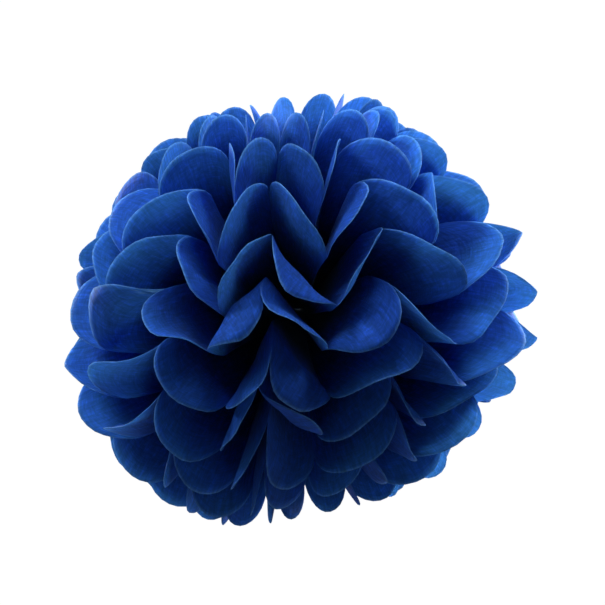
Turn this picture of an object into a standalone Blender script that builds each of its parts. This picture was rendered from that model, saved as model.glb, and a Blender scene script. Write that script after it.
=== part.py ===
"""Tissue paper pom pom, 250 mm across.

Metres, +Z up. The origin is the middle of the wire tie at the centre of the ball. Each sheet
runs along Y, its pleats lie side by side along X, and the pile of sheets stands along Z.
"""
import math

import bmesh
import bpy
import numpy as np
from mathutils import Vector

# The cut and folded tissue: a sheet is PANEL_COUNT panels wide and two strips long
SHEET_COUNT = 10
PANEL_COUNT = 10
PANEL_WIDTH = 0.048
STRIP_LENGTH = 0.120
LOBE_DEPTH = 0.025
SHEET_THICKNESS = 0.0003

# The gathered middle, where the sheets lie flat in a round bundle
SHEET_PITCH = 0.0012
BUNDLE_MARGIN = 0.0028
FLARE_LENGTH = 0.008

# How the petals stand, with angles in degrees from the upright axis
POLE_ANGLE = 25.0
EQUATOR_HALF_GAP = 8.0
TIP_LIFT = 6.0
SEAM_GAP = 0.003
FLATTEN = 0.98
PLEAT_RISE_END = 0.074
PLEAT_LIMIT = 0.26
PETAL_CUP = 0.005
PLEAT_BELLY = 0.002
TIP_CURL = 0.009
TIP_TWIST = 0.006

# Unevenness of a ball pulled open by hand, in degrees, and the share of a strip where it sets in
FOLD_SPREAD = 4.0
FAN_TURN = 4.5
TURN_SPAN = (0.2, 0.8)
FOLD_LEAN = 2.5
LEAN_SPAN = (0.1, 0.6)
FOLD_CURL = 16.0
CURL_SPAN = (0.6, 1.05)
SEED = 3

# Gentle waves that bend the whole ball, some long and some short, and one that bends the seam
# between the two half-fans out of its plane
LONG_WAVE_COUNT = 6
LONG_WAVELENGTH = 0.28
LONG_WAVE_SWAY = 0.006
SHORT_WAVE_COUNT = 8
SHORT_WAVELENGTH = 0.16
SHORT_WAVE_SWAY = 0.005
SEAM_WAVELENGTH = 0.17
SEAM_WAVE_SWAY = 0.011
STILL_RADIUS = 0.020
FREE_RADIUS = 0.110
SWAY_STEPS = 6

# The wire and its twisted tail
WIRE_RADIUS = 0.0005
WIRE_CLEARANCE = 0.0004
STRAND_GAP = 0.0003
TAIL_LENGTH = 0.012
TAIL_TURNS = 1.5

# How finely the model is cut up
ROW_SHARES = (0.06, 0.16, 0.32, 0.52, 0.76, 1.0)
LOBED_ROWS = 2
LOBE_COLUMNS = 4
FOLD_STEPS = 60
RING_POINTS = 32
LEG_POINTS = 18
WIRE_ROUNDNESS = 1
TURN_STEPS = 100
STEEP_LIMIT = 2.5
CREASE_ANGLE = 50.0

BUNDLE_RADIUS = (SHEET_COUNT - 1) / 2 * SHEET_PITCH + BUNDLE_MARGIN
TAIL_START = BUNDLE_RADIUS + SHEET_THICKNESS / 2 + WIRE_CLEARANCE + WIRE_RADIUS

TISSUE_BLUE = (0.012, 0.07, 0.42, 1.0)
WIRE_GREY = (0.45, 0.46, 0.48, 1.0)


def smooth(low, high, x):
    """0 below low, 1 above high and an even S between them."""
    t = np.clip((x - low) / (high - low), 0.0, 1.0)
    return t * t * (3.0 - 2.0 * t)


def edge_start():
    """How far a strip's outermost folds get from the seam over the flare that turns them to it."""
    flare = smooth(0.0, 1.0, np.linspace(0.0, 1.0, FOLD_STEPS + 1))
    return FLARE_LENGTH * float(np.mean(np.cos(math.pi / 2 * flare)))


def launch_angle(sheet):
    """Angle of a sheet from the upright axis where it leaves the tie, in radians."""
    half = SHEET_COUNT // 2
    rank = min(sheet, SHEET_COUNT - 1 - sheet)
    last = 90.0 - EQUATOR_HALF_GAP
    angle = math.radians(POLE_ANGLE + (last - POLE_ANGLE) * rank / max(half - 1, 1))
    return angle if sheet < half else math.pi - angle


def fold_lines(sheet, side):
    """Points along the folds of one strip, from the tie to the tips, and the way they run.

    A fold line follows a direction that leaves the bundle level, swings to the sheet's own angle
    and lifts at its tip. The folds stand in turn above and below that middle surface, as far as
    keeps neighbours one panel width apart.
    """
    count = PANEL_COUNT + 1
    shared = np.random.default_rng([SEED, side + 1])
    own = np.random.default_rng([SEED, side + 1, sheet + 1])
    inner = np.r_[0.0, np.ones(count - 2), 0.0]
    share = np.linspace(0.0, 1.0, FOLD_STEPS + 1)[:, None]
    reach = share * STRIP_LENGTH

    launch = launch_angle(sheet)
    room = math.sin(launch) ** 2
    run_out = (STRIP_LENGTH - FLARE_LENGTH) * math.sin(launch)
    fan_half = 90.0 + math.degrees(math.asin((edge_start() - SEAM_GAP / 2) / run_out))
    azimuth = np.linspace(-fan_half, fan_half, count)
    azimuth += inner * FOLD_SPREAD * shared.uniform(-1, 1, count) * math.sin(launch)
    drift = inner * FOLD_SPREAD * own.uniform(-1, 1, count) * room
    turned = FAN_TURN * np.cos(np.radians(azimuth)) * math.sin(launch)
    drift = drift + inner * (turned if sheet % 2 else -turned)
    azimuth = np.radians(azimuth + drift * smooth(*TURN_SPAN, share))
    lean = np.radians(FOLD_LEAN * own.uniform(-1, 1, count)) * room
    curl = np.radians(FOLD_CURL * own.uniform(-1, 1, count)) * room
    lift = math.radians(TIP_LIFT) * math.sin(2.0 * launch)
    polar = launch - lift * share ** 2
    polar = polar + lean * smooth(*LEAN_SPAN, share) + curl * smooth(*CURL_SPAN, share)

    flare = smooth(0.0, FLARE_LENGTH, reach)
    polar = math.pi / 2 + (polar - math.pi / 2) * flare
    azimuth = azimuth * flare
    out_x, out_y = np.sin(azimuth), np.cos(azimuth)
    along = np.stack([np.sin(polar) * out_x, np.sin(polar) * out_y, np.cos(polar)], -1)
    across = np.stack([np.cos(polar) * out_x, np.cos(polar) * out_y, -np.sin(polar)], -1)

    steps = (along[1:] + along[:-1]) / 2 * STRIP_LENGTH / FOLD_STEPS
    level = ((SHEET_COUNT - 1) / 2 - sheet) * SHEET_PITCH
    half_width = math.sqrt(BUNDLE_RADIUS ** 2 - level ** 2)
    middle = np.concatenate([np.zeros((1, count, 3)), np.cumsum(steps, 0)])
    middle[..., 0] += np.linspace(-half_width, half_width, count)
    middle[..., 2] += level

    axis_distance = np.hypot(middle[..., 0], middle[..., 1])
    spacing = axis_distance * np.radians(2 * fan_half / PANEL_COUNT)
    width = PANEL_WIDTH * smooth(0.0, PLEAT_RISE_END, reach)
    height = np.sqrt(np.clip(width ** 2 - spacing ** 2, 0.0, None)) / 2
    height = np.minimum(height, PLEAT_LIMIT * axis_distance)
    turn = np.where(np.arange(count) % 2 == 0, -1.0, 1.0)
    return middle + (turn * height)[..., None] * across, along


def strip_surface(sheet, side, crosswise, lengthwise):
    """Where points of a flat strip go: crosswise in panels, lengthwise in shares of its reach."""
    folds, along = fold_lines(sheet, side)
    own = np.random.default_rng([SEED, side + 1, sheet + 1, 1])
    room = math.sin(launch_angle(sheet)) ** 2
    cup = PETAL_CUP * own.uniform(-1, 1, PANEL_COUNT) * room
    panel = np.minimum(crosswise.astype(int), PANEL_COUNT - 1)
    part = (1 - np.cos(np.pi * (crosswise - panel))) / 2
    round_end = 1 - np.sqrt(np.clip(1 - (2 * part - 1) ** 2, 0.0, 1.0))
    share = lengthwise * (1 - LOBE_DEPTH / STRIP_LENGTH * round_end)

    step = share * FOLD_STEPS
    before = np.clip(step.astype(int), 0, FOLD_STEPS - 1)
    rest = (step - before)[:, None]
    near = folds[before, panel] * (1 - rest) + folds[before + 1, panel] * rest
    far = folds[before, panel + 1] * (1 - rest) + folds[before + 1, panel + 1] * rest
    mix = part[:, None]
    run = along[before, panel] * (1 - mix) + along[before, panel + 1] * mix
    points = near * (1 - mix) + far * mix
    normal = np.cross(far - near, run)
    normal /= np.linalg.norm(normal, axis=-1, keepdims=True) + 1e-9
    belly = np.where(panel % 2 == 0, -PLEAT_BELLY, PLEAT_BELLY) * room + cup[panel]
    past_notch = np.clip(1 - (1 - share) * STRIP_LENGTH / LOBE_DEPTH, 0.0, 1.0)
    curl = TIP_CURL * room * own.uniform(-1, 1, PANEL_COUNT)[panel] * past_notch ** 2
    twist = TIP_TWIST * room * own.uniform(-1, 1, PANEL_COUNT)[panel] * past_notch * (2 * part - 1)
    proud = belly * np.sin(np.pi * part) * share ** 2 + curl + twist
    points = points + normal * proud[:, None]

    points[:, 1] *= side
    points[:, 2] *= FLATTEN
    return points


def sway(points):
    """Carry points along gentle waves that bend the whole ball, so that no layers meet."""
    rng = np.random.default_rng(SEED)
    waves = [(np.array([2 * math.pi / SEAM_WAVELENGTH, 0, 0]),
              np.array([0, SEAM_WAVE_SWAY, 0]), math.pi / 2)]
    for wavelength, amount, count in ((LONG_WAVELENGTH, LONG_WAVE_SWAY, LONG_WAVE_COUNT),
                                      (SHORT_WAVELENGTH, SHORT_WAVE_SWAY, SHORT_WAVE_COUNT)):
        for _ in range(count):
            heading = rng.normal(size=3)
            heading /= np.linalg.norm(heading)
            push = np.cross(heading, rng.normal(size=3))
            push *= amount * math.sqrt(2.0 / count) / np.linalg.norm(push)
            waves.append((heading * 2 * math.pi / wavelength, push, rng.uniform(0, 2 * math.pi)))
    for _ in range(SWAY_STEPS):
        moved = sum(np.sin(points @ heading + phase)[:, None] * push
                    for heading, push, phase in waves)
        radius = np.linalg.norm(points, axis=-1, keepdims=True)
        points = points + moved * smooth(STILL_RADIUS, FREE_RADIUS, radius) / SWAY_STEPS
    return points


def shape_sheet(sheet, flat):
    """Fold and fan a flat sheet, whose points are panels across and rows along."""
    shares = np.r_[0.0, ROW_SHARES]
    rows = np.abs(flat[:, 1])
    lengthwise = np.interp(rows, np.arange(len(shares)), shares)
    shaped = np.empty_like(flat)
    for side in (-1, 1):
        on_side = flat[:, 1] < 0 if side < 0 else flat[:, 1] >= 0
        shaped[on_side] = strip_surface(sheet, side, flat[on_side, 0], lengthwise[on_side])
    return sway(shaped)


def way_through(vert):
    """The step through the paper at a point, which crosses every face round it the same way."""
    normals = [face.normal for face in vert.link_faces]
    way = sum(normals, Vector()) / len(normals)
    for step in range(TURN_STEPS):
        way = way.lerp(min(normals, key=way.dot), 1.0 / (step + 2))
    way.normalize()
    slope = min(way.dot(normal) for normal in normals)
    return way / max(slope, 1.0 / STEEP_LIMIT)


def tissue_sheet(sheet, collection, material):
    """One sheet: a flat grid cut finer towards its lobes, folded, fanned and given a thickness."""
    rows = len(ROW_SHARES)
    bm = bmesh.new()
    bmesh.ops.create_grid(bm, x_segments=PANEL_COUNT, y_segments=2 * rows, size=1.0)
    for vert in bm.verts:
        vert.co.x = (vert.co.x + 1.0) / 2 * PANEL_COUNT
        vert.co.y = round(vert.co.y * rows)
    lobe_edges = [edge for edge in bm.edges
                  if edge.verts[0].co.y == edge.verts[1].co.y
                  and abs(edge.verts[0].co.y) > rows - LOBED_ROWS]
    bmesh.ops.subdivide_edges(bm, edges=lobe_edges, cuts=LOBE_COLUMNS - 1)
    flat = np.array([vert.co[:] for vert in bm.verts])
    for vert, place in zip(bm.verts, shape_sheet(sheet, flat)):
        vert.co = place
    bmesh.ops.triangulate(bm, faces=bm.faces)
    bm.normal_update()
    through = bm.verts.layers.float_vector.new("through")
    for vert in bm.verts:
        vert[through] = way_through(vert) * SHEET_THICKNESS / 2
    upper = bmesh.ops.extrude_face_region(bm, geom=bm.faces[:], use_keep_orig=True)
    raised = {item for item in upper["geom"] if isinstance(item, bmesh.types.BMVert)}
    for vert in bm.verts:
        vert.co += vert[through] if vert in raised else -vert[through]
    bmesh.ops.recalc_face_normals(bm, faces=bm.faces)

    name = f"tissue_sheet_{sheet + 1:02d}"
    mesh = bpy.data.meshes.new(name)
    bm.to_mesh(mesh)
    bm.free()
    mesh.materials.append(material)
    mesh.shade_smooth()
    mesh.set_sharp_from_angle(angle=math.radians(CREASE_ANGLE))
    sheet_object = bpy.data.objects.new(name, mesh)
    collection.objects.link(sheet_object)
    return sheet_object


def wire_route():
    """The wire's middle line: down one twisted strand, round the bundle and up the other."""
    offset = WIRE_RADIUS + STRAND_GAP / 2
    height = np.linspace(TAIL_LENGTH, 0.0, LEG_POINTS)
    twist = math.pi + 2 * math.pi * TAIL_TURNS * smooth(0.0, TAIL_LENGTH, height)
    top = math.sqrt(TAIL_START ** 2 - offset ** 2)
    leg = np.stack([offset * np.cos(twist), offset * np.sin(twist), top + offset + height], -1)
    corner = math.asin(2 * offset / TAIL_START)
    angle = np.linspace(corner, 2 * math.pi - corner, RING_POINTS)
    ring = np.stack([-TAIL_START * np.sin(angle), 0 * angle, TAIL_START * np.cos(angle)], -1)
    second = leg[::-1] * np.array([-1.0, -1.0, 1.0])
    return np.concatenate([leg, ring, second])


def tie_wire(collection, material):
    """The wire round the bundle, as a bevelled curve with closed ends."""
    curve = bpy.data.curves.new("tie_wire", "CURVE")
    curve.dimensions = "3D"
    curve.bevel_depth = WIRE_RADIUS
    curve.bevel_resolution = WIRE_ROUNDNESS
    curve.use_fill_caps = True
    curve.materials.append(material)
    route = wire_route()
    spline = curve.splines.new("POLY")
    spline.points.add(len(route) - 1)
    spline.points.foreach_set("co", np.c_[route, np.ones(len(route))].ravel())
    spline.use_smooth = True
    wire = bpy.data.objects.new("tie_wire", curve)
    collection.objects.link(wire)
    return wire


def principled(name, colour, roughness, metallic):
    material = bpy.data.materials.new(name)
    material.use_nodes = True
    shader = material.node_tree.nodes["Principled BSDF"]
    shader.inputs["Base Color"].default_value = colour
    shader.inputs["Roughness"].default_value = roughness
    shader.inputs["Metallic"].default_value = metallic
    return material


for old in list(bpy.data.objects):
    bpy.data.objects.remove(old, do_unlink=True)

pom_pom = bpy.data.collections.new("tissue_pom_pom")
bpy.context.scene.collection.children.link(pom_pom)

tissue = principled("blue_tissue", TISSUE_BLUE, 0.8, 0.0)
for number in range(SHEET_COUNT):
    tissue_sheet(number, pom_pom, tissue)
tie_wire(pom_pom, principled("tie_wire", WIRE_GREY, 0.35, 1.0))
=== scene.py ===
"""Tissue paper pom pom, 250 mm across, as it is seen in a bright room.

Metres, +Z up. The origin is the middle of the wire tie at the centre of the ball. Each sheet
runs along Y, its pleats lie side by side along X, and the pile of sheets stands along Z.
"""
import math

import bmesh
import bpy
import numpy as np
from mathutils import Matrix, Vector


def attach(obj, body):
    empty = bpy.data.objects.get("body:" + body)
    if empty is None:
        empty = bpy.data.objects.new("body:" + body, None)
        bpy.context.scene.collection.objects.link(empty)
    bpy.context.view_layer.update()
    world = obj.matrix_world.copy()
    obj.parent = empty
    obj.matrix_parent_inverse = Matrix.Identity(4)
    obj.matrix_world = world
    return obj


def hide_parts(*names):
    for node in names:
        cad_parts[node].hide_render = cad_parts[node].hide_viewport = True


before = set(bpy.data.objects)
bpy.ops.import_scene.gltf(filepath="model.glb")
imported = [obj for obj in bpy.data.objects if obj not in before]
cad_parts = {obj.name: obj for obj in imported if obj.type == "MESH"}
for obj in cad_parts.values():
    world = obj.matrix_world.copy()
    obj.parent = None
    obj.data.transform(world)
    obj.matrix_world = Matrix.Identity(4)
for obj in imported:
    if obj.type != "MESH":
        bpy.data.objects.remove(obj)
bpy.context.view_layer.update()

# ---- The tissue sheets
# Ten sheets of dyed tissue paper are laid in a pile and pleated together, ten panels wide. The
# pleat ends are cut round, a wire is twisted round the middle, and then the sheets are pulled
# apart one by one, five up and five down, so that every pleat end stands as a pair of petals.

SHEET_COUNT = 10
PANEL_COUNT = 10
PANEL_WIDTH = 0.048
STRIP_LENGTH = 0.120
LOBE_DEPTH = 0.025
SHEET_THICKNESS = 0.0003

SHEET_PITCH = 0.0012
BUNDLE_MARGIN = 0.0028
FLARE_LENGTH = 0.008
BUNDLE_RADIUS = (SHEET_COUNT - 1) / 2 * SHEET_PITCH + BUNDLE_MARGIN

POLE_ANGLE = 25.0
EQUATOR_HALF_GAP = 8.0
TIP_LIFT = 6.0
SEAM_GAP = 0.003
FLATTEN = 0.98
PLEAT_RISE_END = 0.074
PLEAT_LIMIT = 0.26
PETAL_CUP = 0.005
PLEAT_BELLY = 0.002
TIP_CURL = 0.009
TIP_TWIST = 0.006
ROLLED_SHARE = 0.22
ROLL_ANGLE = math.radians(75.0)
CRINKLE_HEIGHT = 0.0009
CRINKLE_WAVES = ((7.0, 9.0), (0.0, 16.0), (11.0, -13.0))

FOLD_SPREAD = 4.0
FAN_TURN = 4.5
TURN_SPAN = (0.2, 0.8)
FOLD_LEAN = 2.5
LEAN_SPAN = (0.1, 0.6)
FOLD_CURL = 16.0
CURL_SPAN = (0.6, 1.05)
SEED = 3

LONG_WAVE_COUNT = 6
LONG_WAVELENGTH = 0.28
LONG_WAVE_SWAY = 0.006
SHORT_WAVE_COUNT = 8
SHORT_WAVELENGTH = 0.16
SHORT_WAVE_SWAY = 0.005
SEAM_WAVELENGTH = 0.17
SEAM_WAVE_SWAY = 0.011
STILL_RADIUS = 0.020
FREE_RADIUS = 0.110
SWAY_STEPS = 6

FOLD_STEPS = 60
PANEL_COLUMNS = 14
STRIP_ROWS = 26
ROW_CROWDING = 0.85
CREASE_ANGLE = math.radians(50.0)


def smooth(low, high, x):
    """3 t^2 - 2 t^3, where t is how far x has come from low to high, kept between 0 and 1."""
    t = np.clip((x - low) / (high - low), 0.0, 1.0)
    return t * t * (3.0 - 2.0 * t)


def launch_angle(sheet):
    """Evenly spaced from the pole to the equator by the sheet's rank, mirrored below it."""
    half = SHEET_COUNT // 2
    rank = min(sheet, SHEET_COUNT - 1 - sheet)
    last = 90.0 - EQUATOR_HALF_GAP
    angle = math.radians(POLE_ANGLE + (last - POLE_ANGLE) * rank / max(half - 1, 1))
    return angle if sheet < half else math.pi - angle


def edge_start():
    """The flare's length times the mean of cos(pi/2 s), where s rises smoothly from 0 to 1."""
    flare = smooth(0.0, 1.0, np.linspace(0.0, 1.0, FOLD_STEPS + 1))
    return FLARE_LENGTH * float(np.mean(np.cos(math.pi / 2 * flare)))


def fold_lines(sheet, side):
    """Each fold is the running sum of unit steps (sin p sin a, sin p cos a, cos p), where the
    azimuth a fans out and the polar angle p opens from 90 degrees over the flare. Odd and even
    folds then stand off it by plus and minus half of sqrt(width^2 - spacing^2)."""
    count = PANEL_COUNT + 1
    shared = np.random.default_rng([SEED, side + 1])
    own = np.random.default_rng([SEED, side + 1, sheet + 1])
    inner = np.r_[0.0, np.ones(count - 2), 0.0]
    share = np.linspace(0.0, 1.0, FOLD_STEPS + 1)[:, None]
    reach = share * STRIP_LENGTH

    launch = launch_angle(sheet)
    room = math.sin(launch) ** 2
    run_out = (STRIP_LENGTH - FLARE_LENGTH) * math.sin(launch)
    fan_half = 90.0 + math.degrees(math.asin((edge_start() - SEAM_GAP / 2) / run_out))
    azimuth = np.linspace(-fan_half, fan_half, count)
    azimuth += inner * FOLD_SPREAD * shared.uniform(-1, 1, count) * math.sin(launch)
    drift = inner * FOLD_SPREAD * own.uniform(-1, 1, count) * room
    turned = FAN_TURN * np.cos(np.radians(azimuth)) * math.sin(launch)
    drift = drift + inner * (turned if sheet % 2 else -turned)
    azimuth = np.radians(azimuth + drift * smooth(*TURN_SPAN, share))
    lean = np.radians(FOLD_LEAN * own.uniform(-1, 1, count)) * room
    curl = np.radians(FOLD_CURL * own.uniform(-1, 1, count)) * room
    lift = math.radians(TIP_LIFT) * math.sin(2.0 * launch)
    polar = launch - lift * share ** 2
    polar = polar + lean * smooth(*LEAN_SPAN, share) + curl * smooth(*CURL_SPAN, share)

    flare = smooth(0.0, FLARE_LENGTH, reach)
    polar = math.pi / 2 + (polar - math.pi / 2) * flare
    azimuth = azimuth * flare
    out_x, out_y = np.sin(azimuth), np.cos(azimuth)
    along = np.stack([np.sin(polar) * out_x, np.sin(polar) * out_y, np.cos(polar)], -1)
    across = np.stack([np.cos(polar) * out_x, np.cos(polar) * out_y, -np.sin(polar)], -1)

    steps = (along[1:] + along[:-1]) / 2 * STRIP_LENGTH / FOLD_STEPS
    level = ((SHEET_COUNT - 1) / 2 - sheet) * SHEET_PITCH
    half_width = math.sqrt(BUNDLE_RADIUS ** 2 - level ** 2)
    middle = np.concatenate([np.zeros((1, count, 3)), np.cumsum(steps, 0)])
    middle[..., 0] += np.linspace(-half_width, half_width, count)
    middle[..., 2] += level

    axis_distance = np.hypot(middle[..., 0], middle[..., 1])
    spacing = axis_distance * np.radians(2 * fan_half / PANEL_COUNT)
    width = PANEL_WIDTH * smooth(0.0, PLEAT_RISE_END, reach)
    height = np.sqrt(np.clip(width ** 2 - spacing ** 2, 0.0, None)) / 2
    height = np.minimum(height, PLEAT_LIMIT * axis_distance)
    turn = np.where(np.arange(count) % 2 == 0, -1.0, 1.0)
    return middle + (turn * height)[..., None] * across, along


def strip_surface(sheet, side, crosswise, lengthwise):
    """A panel is ruled between its two folds at equal shares of their reach, cut short by
    1 - sqrt(1 - x^2) towards its sides for the round end, and belly * sin(pi x) proud of flat.
    Past the notches its lobe is free: it curls with t^2, twists with x t, and may roll up round
    an arc of half angle h, whose chord is the arc's length times sin(h) / h. Three waves of
    different slant crinkle it."""
    folds, along = fold_lines(sheet, side)
    own = np.random.default_rng([SEED, side + 1, sheet + 1, 1])
    room = math.sin(launch_angle(sheet)) ** 2
    cup = PETAL_CUP * own.uniform(-1, 1, PANEL_COUNT) * room
    panel = np.minimum(crosswise.astype(int), PANEL_COUNT - 1)
    part = (1 - np.cos(np.pi * (crosswise - panel))) / 2
    round_end = 1 - np.sqrt(np.clip(1 - (2 * part - 1) ** 2, 0.0, 1.0))
    share = lengthwise * (1 - LOBE_DEPTH / STRIP_LENGTH * round_end)

    step = share * FOLD_STEPS
    before = np.clip(step.astype(int), 0, FOLD_STEPS - 1)
    rest = (step - before)[:, None]
    near = folds[before, panel] * (1 - rest) + folds[before + 1, panel] * rest
    far = folds[before, panel + 1] * (1 - rest) + folds[before + 1, panel + 1] * rest
    mix = part[:, None]
    run = along[before, panel] * (1 - mix) + along[before, panel + 1] * mix
    points = near * (1 - mix) + far * mix
    normal = np.cross(far - near, run)
    normal /= np.linalg.norm(normal, axis=-1, keepdims=True) + 1e-9
    belly = np.where(panel % 2 == 0, -PLEAT_BELLY, PLEAT_BELLY) * room + cup[panel]
    past_notch = np.clip(1 - (1 - share) * STRIP_LENGTH / LOBE_DEPTH, 0.0, 1.0)
    curl = TIP_CURL * room * own.uniform(-1, 1, PANEL_COUNT)[panel] * past_notch ** 2
    twist = TIP_TWIST * room * own.uniform(-1, 1, PANEL_COUNT)[panel] * past_notch * (2 * part - 1)
    proud = belly * np.sin(np.pi * part) * share ** 2 + curl + twist

    rolled = own.uniform(0, 1, PANEL_COUNT) < ROLLED_SHARE
    half_angle = np.where(rolled, own.choice((-1, 1), PANEL_COUNT), 0)[panel] * past_notch / 2
    half_angle = half_angle * ROLL_ANGLE * room
    arc = past_notch * LOBE_DEPTH * np.sinc(half_angle / np.pi)
    proud = proud + arc * np.sin(half_angle)
    drawn_in = arc * np.cos(half_angle) - past_notch * LOBE_DEPTH

    phases = own.uniform(0, 2 * np.pi, (len(CRINKLE_WAVES), PANEL_COUNT))[:, panel]
    waves = sum(np.sin(over * part + up * share + phase)
                for (over, up), phase in zip(CRINKLE_WAVES, phases))
    proud = proud + CRINKLE_HEIGHT * room * waves * share ** 2 * np.sqrt(np.sin(np.pi * part))
    points = points + normal * proud[:, None] + run * drawn_in[:, None]

    points[:, 1] *= side
    points[:, 2] *= FLATTEN
    return points, part


def sway(points):
    """Each of a few short steps adds the sum of sin(heading . p + phase) * push over the waves,
    which grows with the distance from the tie. A push is square to its own heading."""
    rng = np.random.default_rng(SEED)
    waves = [(np.array([2 * math.pi / SEAM_WAVELENGTH, 0, 0]),
              np.array([0, SEAM_WAVE_SWAY, 0]), math.pi / 2)]
    for wavelength, amount, count in ((LONG_WAVELENGTH, LONG_WAVE_SWAY, LONG_WAVE_COUNT),
                                      (SHORT_WAVELENGTH, SHORT_WAVE_SWAY, SHORT_WAVE_COUNT)):
        for _ in range(count):
            heading = rng.normal(size=3)
            heading /= np.linalg.norm(heading)
            push = np.cross(heading, rng.normal(size=3))
            push *= amount * math.sqrt(2.0 / count) / np.linalg.norm(push)
            waves.append((heading * 2 * math.pi / wavelength, push, rng.uniform(0, 2 * math.pi)))
    for _ in range(SWAY_STEPS):
        moved = sum(np.sin(points @ heading + phase)[:, None] * push
                    for heading, push, phase in waves)
        radius = np.linalg.norm(points, axis=-1, keepdims=True)
        points = points + moved * smooth(STILL_RADIUS, FREE_RADIUS, radius) / SWAY_STEPS
    return points


def grid_mesh(name, grid, uv):
    """A mesh of one four-sided face for each cell of a grid of points, with a UV for each."""
    rows, columns = grid.shape[:2]
    index = np.arange(rows * columns).reshape(rows, columns)
    faces = np.stack([index[:-1, :-1], index[:-1, 1:], index[1:, 1:], index[1:, :-1]], -1)
    mesh = bpy.data.meshes.new(name)
    mesh.from_pydata(grid.reshape(-1, 3).tolist(), [], faces.reshape(-1, 4).tolist())
    layer = mesh.uv_layers.new(name="UVMap")
    layer.data.foreach_set("uv", uv.reshape(-1, 2)[faces.ravel()].astype(np.float32).ravel())
    return mesh


class Socket:
    """A shader socket in sums: each operator adds the Math node that works it out."""

    def __init__(self, tree, socket):
        self.tree, self.socket = tree, socket

    def math(self, operation, first, second=0.0):
        return self.tree.add("ShaderNodeMath", operation=operation, sockets=(first, second))

    def __add__(self, other): return self.math("ADD", self, other)
    def __radd__(self, other): return self.math("ADD", other, self)
    def __sub__(self, other): return self.math("SUBTRACT", self, other)
    def __rsub__(self, other): return self.math("SUBTRACT", other, self)
    def __mul__(self, other): return self.math("MULTIPLY", self, other)
    def __rmul__(self, other): return self.math("MULTIPLY", other, self)
    def __pow__(self, other): return self.math("POWER", self, other)
    def __abs__(self): return self.math("ABSOLUTE", self)


class Tree:
    """The nodes of one material or of the world."""

    def __init__(self, owner):
        owner.use_nodes = True
        self.nodes, self.links = owner.node_tree.nodes, owner.node_tree.links
        self.nodes.clear()

    def add(self, kind, output=0, sockets=(), **settings):
        """A node of a kind, set up first, then given values or links by place or by name."""
        node = self.nodes.new(kind)
        for name, value in settings.items():
            setattr(node, name, value)
        pairs = sockets.items() if isinstance(sockets, dict) else enumerate(sockets)
        for key, value in pairs:
            if isinstance(value, Socket):
                self.links.new(value.socket, node.inputs[key])
            else:
                node.inputs[key].default_value = value
        return Socket(self, node.outputs[output]) if len(node.outputs) else None


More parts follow.
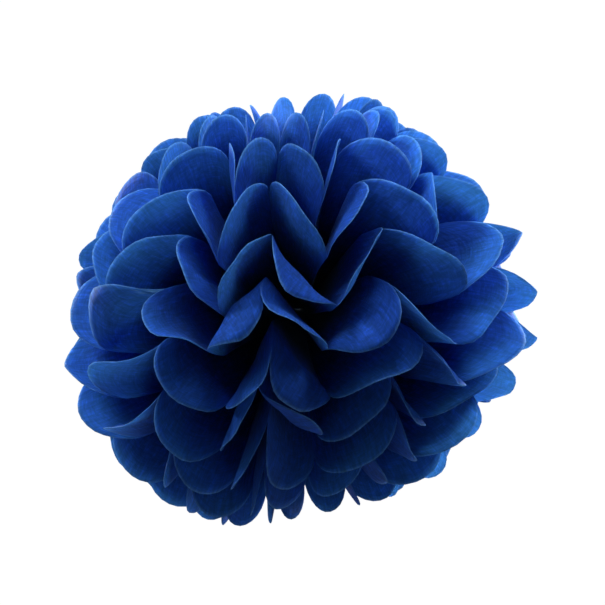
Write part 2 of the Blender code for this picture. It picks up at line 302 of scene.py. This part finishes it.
def tissue_material(tree):
    """Dyed tissue: deep blue, with fine fibres along and across the strip, soft wrinkles and a
    painted highlight along the cut edge. Painted shade darkens the bunched part near the tie, and
    the tips let more light through."""
    dye_blue, highlight_edge_blue = (0.018, 0.095, 0.54, 1.0), (0.20, 0.50, 0.95, 1.0)
    lit_through_blue, sheen_blue = (0.24, 0.56, 0.92, 1.0), (0.4, 0.75, 1.0, 1.0)
    fibre_scales = ((30.0, 14.0, 1.0), (8.0, 90.0, 1.0))
    wrinkle_scale, cloud_scale, wrinkle_depth = 85.0, 28.0, 0.0015
    along_weight, across_weight, fibre_relief = 0.55, 0.45, 0.35
    fibre_tone, cloud_tone, petal_tone, highlight_edge_tone = 10.0, 0.5, 0.3, 0.6
    least_through, fibre_through = 0.2, 0.5
    highlight_edge_start, painted_shade_end, painted_shade_tone = 0.988, 0.35, 0.08
    petal_step, fold_nudge = 2.3, 0.0001

    uv = tree.add("ShaderNodeUVMap", uv_map="UVMap")
    fibres_along, fibres_across = (tree.add("ShaderNodeTexNoise", sockets={
        "Vector": tree.add("ShaderNodeMapping", sockets={"Vector": uv, "Scale": scale}),
        "Scale": 1.0, "Detail": 4.0, "Roughness": 0.65, "Distortion": 0.6})
        for scale in fibre_scales)
    fibres = along_weight * fibres_along + across_weight * fibres_across
    place = tree.add("ShaderNodeTexCoord", output=3)
    wrinkles = tree.add("ShaderNodeTexNoise", sockets={"Vector": place, "Scale": wrinkle_scale})
    clouds = tree.add("ShaderNodeTexNoise", sockets={"Vector": place, "Scale": cloud_scale})

    # Each petal has a tone of its own, from its panel's number and the side of the tie it is on.
    across = tree.add("ShaderNodeSeparateXYZ", output=0, sockets=(uv,))
    along = tree.add("ShaderNodeSeparateXYZ", output=1, sockets=(uv,))
    panel = tree.add("ShaderNodeMath", operation="FLOOR", sockets=(across - fold_nudge,))
    side = tree.add("ShaderNodeMath", operation="SIGN", sockets=(along,))
    petal = tree.add("ShaderNodeTexWhiteNoise", noise_dimensions="1D",
                     sockets={"W": petal_step * panel + side})
    along = abs(along)
    # Painted highlight: a paler blue along the cut edge of each petal stands in for the light
    # caught there.
    edge_highlight = tree.add("ShaderNodeMapRange", interpolation_type="SMOOTHSTEP",
                    sockets={"Value": along, "From Min": highlight_edge_start, "From Max": 1.0})
    # Painted shade: the colour falls from full tone at the tips to a small share near the tie,
    # where the sheets bunch. The same ramp also lets less light through there.
    painted_tie_shade = tree.add("ShaderNodeMapRange", interpolation_type="SMOOTHSTEP",
                     sockets={"Value": along, "From Min": painted_shade_end, "From Max": 1.0,
                              "To Min": painted_shade_tone, "To Max": 1.0})

    shade = (fibre_tone * fibres ** 4 + cloud_tone * clouds + petal_tone * petal) * painted_tie_shade
    # The dye blue turns to the painted highlight blue at the cut edge.
    dye_and_edge_highlight = tree.add("ShaderNodeMix", output=2, data_type="RGBA",
                   sockets={0: edge_highlight * highlight_edge_tone, 6: dye_blue, 7: highlight_edge_blue})
    colour = tree.add("ShaderNodeVectorMath", operation="SCALE", sockets={0: dye_and_edge_highlight, "Scale": shade})
    bump = tree.add("ShaderNodeBump", sockets={"Strength": 0.6, "Distance": wrinkle_depth,
                                               "Height": wrinkles + fibre_relief * fibres})
    paper = tree.add("ShaderNodeBsdfPrincipled", sockets={
        "Base Color": colour, "Roughness": 0.75, "Specular IOR Level": 0.25,
        "Specular Tint": sheen_blue, "Sheen Weight": 0.06, "Sheen Roughness": 0.5,
        "Sheen Tint": sheen_blue, "Normal": bump})
    through = tree.add("ShaderNodeBsdfTranslucent", sockets={"Color": lit_through_blue})
    let_through = (least_through + fibre_through * fibres) * painted_tie_shade ** 2
    both = tree.add("ShaderNodeMixShader", sockets=(let_through, paper, through))
    tree.add("ShaderNodeOutputMaterial", sockets={"Surface": both})


tissue = bpy.data.materials.new("blue_tissue")
tissue_material(Tree(tissue))

# Crosswise runs over the panels, and lengthwise from the tie to the tips, with more rows towards
# the tips. The two strips of a sheet share their row at the tie.
crosswise = np.linspace(0.0, PANEL_COUNT, PANEL_COUNT * PANEL_COLUMNS + 1)
lengthwise = np.linspace(0.0, 1.0, STRIP_ROWS + 1) ** ROW_CROWDING
shape = (len(lengthwise), len(crosswise))
u, v = (a.ravel() for a in np.meshgrid(crosswise, lengthwise))
panel = np.minimum(u.astype(int), PANEL_COUNT - 1)

for sheet in range(SHEET_COUNT):
    name = f"petal_sheet_{sheet + 1:02d}"
    strips, paper_area = [], 0.0
    for side in (-1, 1):
        points, part = strip_surface(sheet, side, u, v)
        points = sway(points).reshape(*shape, 3)
        flat = np.stack([PANEL_COUNT * sheet + panel + part, side * v], -1).reshape(*shape, 2)
        folds, _ = fold_lines(sheet, side)
        widths = np.linalg.norm(np.diff(folds, axis=1), axis=-1).sum(1)
        paper_area += float(widths.mean()) * STRIP_LENGTH
        strips.append((points, flat))
    grid, uv = (np.concatenate([first[::-1], second[1:]]) for first, second in zip(*strips))
    mesh = grid_mesh(name, grid, uv)
    mesh.materials.append(tissue)
    mesh.shade_smooth()
    mesh.set_sharp_from_angle(angle=CREASE_ANGLE)
    piece = bpy.data.objects.new(name, mesh)
    bpy.context.scene.collection.objects.link(piece)
    wall = piece.modifiers.new("thickness", "SOLIDIFY")
    wall.thickness, wall.offset = SHEET_THICKNESS, 0.0
    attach(piece, "root")
    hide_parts(f"tissue_sheet_{sheet + 1:02d}")

# ---- The tie wire
# One length of soft steel florist wire goes round the waist of the pile, and its two ends are
# twisted together into a short tail that stands up between the two middle rows of petals.

WIRE_RADIUS = 0.0005
WIRE_CLEARANCE = 0.0004
STRAND_GAP = 0.0003
TAIL_LENGTH = 0.012
TAIL_TURNS = 1.5
LOOP_RADIUS = BUNDLE_RADIUS + SHEET_THICKNESS / 2 + WIRE_CLEARANCE + WIRE_RADIUS
LOOP_POINTS = 96
LEG_POINTS = 48
WIRE_SIDES = 16
CUT_END = ((0.0, 0.0), (0.0, 0.75), (0.1, 0.95))


def wire_route():
    """Up and down the tail, the two strands stand off its axis by half a turn of one another at
    (offset cos t, offset sin t), and between them the wire goes round a circle in X and Z."""
    offset = WIRE_RADIUS + STRAND_GAP / 2
    height = np.linspace(TAIL_LENGTH, 0.0, LEG_POINTS)
    twist = math.pi + 2 * math.pi * TAIL_TURNS * smooth(0.0, TAIL_LENGTH, height)
    top = math.sqrt(LOOP_RADIUS ** 2 - offset ** 2)
    leg = np.stack([offset * np.cos(twist), offset * np.sin(twist), top + offset + height], -1)
    corner = math.asin(2 * offset / LOOP_RADIUS)
    angle = np.linspace(corner, 2 * math.pi - corner, LOOP_POINTS)
    loop = np.stack([-LOOP_RADIUS * np.sin(angle), 0 * angle, LOOP_RADIUS * np.cos(angle)], -1)
    return np.concatenate([leg, loop, leg[::-1] * np.array([-1.0, -1.0, 1.0])])


def wire_grid(route, radius, sides):
    """Circles square to the route: centre + radius (cos a side + sin a rise), where the side is
    square to Y and to the run. A few smaller circles round off each cut end."""
    run = np.gradient(route, axis=0)
    run /= np.linalg.norm(run, axis=-1, keepdims=True)
    steps = [radius * along for along, _ in CUT_END]
    head = np.stack([route[0] + run[0] * step for step in steps])
    tail = np.stack([route[-1] - run[-1] * step for step in steps[::-1]])
    size = np.r_[[share for _, share in CUT_END], np.ones(len(route) - 2),
                 [share for _, share in CUT_END[::-1]]]
    centres = np.concatenate([head, route[1:-1], tail])
    runs = np.concatenate([run[:1].repeat(len(steps), 0), run[1:-1],
                           run[-1:].repeat(len(steps), 0)])
    across = np.cross(runs, (0.0, 1.0, 0.0))
    across /= np.linalg.norm(across, axis=-1, keepdims=True)
    rise = np.cross(across, runs)
    angle = np.linspace(0.0, 2 * math.pi, sides + 1)[None, :, None]
    ring = np.cos(angle) * across[:, None] + np.sin(angle) * rise[:, None]
    return centres[:, None] + radius * size[:, None, None] * ring


def wire_material(tree):
    """Drawn steel: grey metal with fine lines along the wire and duller patches."""
    uv = tree.add("ShaderNodeUVMap", uv_map="UVMap")
    dull_grey, bright_grey = (0.38, 0.39, 0.41, 1.0), (0.55, 0.56, 0.58, 1.0)
    line_scale, patch_scale, line_depth = (12.0, 30.0, 1.0), 400.0, 0.00003
    least_rough, patch_rough = 0.25, 0.25
    lines = tree.add("ShaderNodeTexNoise", sockets={
        "Vector": tree.add("ShaderNodeMapping", sockets={"Vector": uv, "Scale": line_scale}),
        "Scale": 1.0, "Detail": 3.0})
    place = tree.add("ShaderNodeTexCoord", output=3)
    patches = tree.add("ShaderNodeTexNoise", sockets={"Vector": place, "Scale": patch_scale})
    steel = tree.add("ShaderNodeMix", output=2, data_type="RGBA",
                     sockets={0: patches, 6: dull_grey, 7: bright_grey})
    bump = tree.add("ShaderNodeBump",
                    sockets={"Strength": 0.3, "Distance": line_depth, "Height": lines})
    surface = tree.add("ShaderNodeBsdfPrincipled", sockets={
        "Base Color": steel, "Metallic": 1.0, "Roughness": least_rough + patch_rough * patches,
        "Normal": bump})
    tree.add("ShaderNodeOutputMaterial", sockets={"Surface": surface})


wire_steel = bpy.data.materials.new("drawn_steel")
wire_material(Tree(wire_steel))
grid = wire_grid(wire_route(), WIRE_RADIUS, WIRE_SIDES)
around, along = np.meshgrid(np.linspace(0.0, 1.0, grid.shape[1]),
                            np.linspace(0.0, 1.0, grid.shape[0]))
mesh = grid_mesh("binding_wire", grid, np.stack([around, along], -1))
shell = bmesh.new()
shell.from_mesh(mesh)
bmesh.ops.remove_doubles(shell, verts=shell.verts, dist=WIRE_RADIUS / 100)
bmesh.ops.recalc_face_normals(shell, faces=shell.faces)
shell.to_mesh(mesh)
shell.free()
mesh.materials.append(wire_steel)
mesh.shade_smooth()
binding_wire = bpy.data.objects.new("binding_wire", mesh)
bpy.context.scene.collection.objects.link(binding_wire)
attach(binding_wire, "root")
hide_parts("tie_wire")

# ---- The room
# A pale floor well below the ball and a white surround. Two lamps above the shoulders and one
# overhead light the ball, and one at its right and two behind shine through the outer petals.

floor_size, floor_drop = 60.0, 1.0
mesh = bpy.data.meshes.new("floor")
half = floor_size / 2
mesh.from_pydata([(-half, -half, -floor_drop), (half, -half, -floor_drop),
                  (half, half, -floor_drop), (-half, half, -floor_drop)], [], [(0, 1, 2, 3)])
floor = bpy.data.objects.new("floor", mesh)
bpy.context.scene.collection.objects.link(floor)


def seen_share(tree):
    """1 for what the camera sees, straight on or in gloss or clear material, and 0 for the light
    that falls on the ball. Paper scatters what comes through it, so that counts as falling."""
    camera_ray, glossy, clear, scattered = (
        tree.add("ShaderNodeLightPath", output=name)
        for name in ("Is Camera Ray", "Is Glossy Ray", "Is Transmission Ray", "Is Diffuse Ray"))
    return tree.add("ShaderNodeMath", operation="ADD", use_clamp=True,
                    sockets=(camera_ray + glossy, clear * (1 - scattered)))


floor_grey, floor_glow, glow_share = (0.3, 0.3, 0.3, 1.0), 1.12, 0.9
pale = bpy.data.materials.new("pale_floor")
tree = Tree(pale)
matt = tree.add("ShaderNodeBsdfPrincipled", sockets={"Base Color": floor_grey, "Roughness": 0.9})
white = tree.add("ShaderNodeEmission",
                 sockets={"Color": (1.0, 1.0, 1.0, 1.0), "Strength": floor_glow})
ground = tree.add("ShaderNodeMixShader", sockets=(seen_share(tree) * glow_share, matt, white))
tree.add("ShaderNodeOutputMaterial", sockets={"Surface": ground})
mesh.materials.append(pale)

dim = 0.02
world = bpy.data.worlds.new("surround")
bpy.context.scene.world = world
tree = Tree(world)
sky = tree.add("ShaderNodeBackground", sockets={
    "Color": (1.0, 1.0, 1.0, 1.0), "Strength": dim + (1 - dim) * seen_share(tree)})
tree.add("ShaderNodeOutputWorld", sockets={"Surface": sky})


def lamp(name, place, size, power):
    """A square area lamp that faces the middle of the ball."""
    data = bpy.data.lights.new(name, "AREA")
    data.energy, data.size = power, size
    light = bpy.data.objects.new(name, data)
    light.visible_camera = False
    light.location = place
    light.rotation_mode = "QUATERNION"
    light.rotation_quaternion = (-Vector(place)).to_track_quat("-Z", "Y")
    bpy.context.scene.collection.objects.link(light)


lamp("lamp_upper_left", (-0.82, -0.03, 0.9), 0.4, 10.0)
lamp("lamp_upper_right", (0.74, -0.36, 0.9), 0.4, 5.0)
lamp("lamp_right", (1.08, 0.28, 0.3), 0.4, 5.0)
lamp("lamp_behind_right", (1.18, 0.77, 0.1), 0.6, 40.0)
lamp("lamp_behind_left", (-0.77, 1.18, 0.1), 0.6, 22.0)
lamp("lamp_above", (-0.10, -0.35, 1.15), 0.4, 4.0)

# ---- The camera
# A long lens a metre away. It looks down a little on the front half-fan, from just left of its
# middle, and is shifted so that the ball stands where the photograph has it.

azimuth, elevation = math.radians(-12.0), math.radians(12.0)
distance, shift_right, shift_up = 1.0, 0.0028, 0.0045
back = Vector((math.sin(azimuth) * math.cos(elevation), -math.cos(azimuth) * math.cos(elevation),
               math.sin(elevation)))
data = bpy.data.cameras.new("camera")
data.sensor_width, data.lens = 36.0, 109.5
camera = bpy.data.objects.new("camera", data)
right = Vector((math.cos(azimuth), math.sin(azimuth), 0.0))
camera.location = back * distance + right * shift_right + Vector((0.0, 0.0, shift_up))
camera.rotation_mode = "QUATERNION"
camera.rotation_quaternion = (-back).to_track_quat("-Z", "Y")
bpy.context.scene.collection.objects.link(camera)
bpy.context.scene.camera = camera
bpy.context.scene.view_settings.view_transform = "Standard"
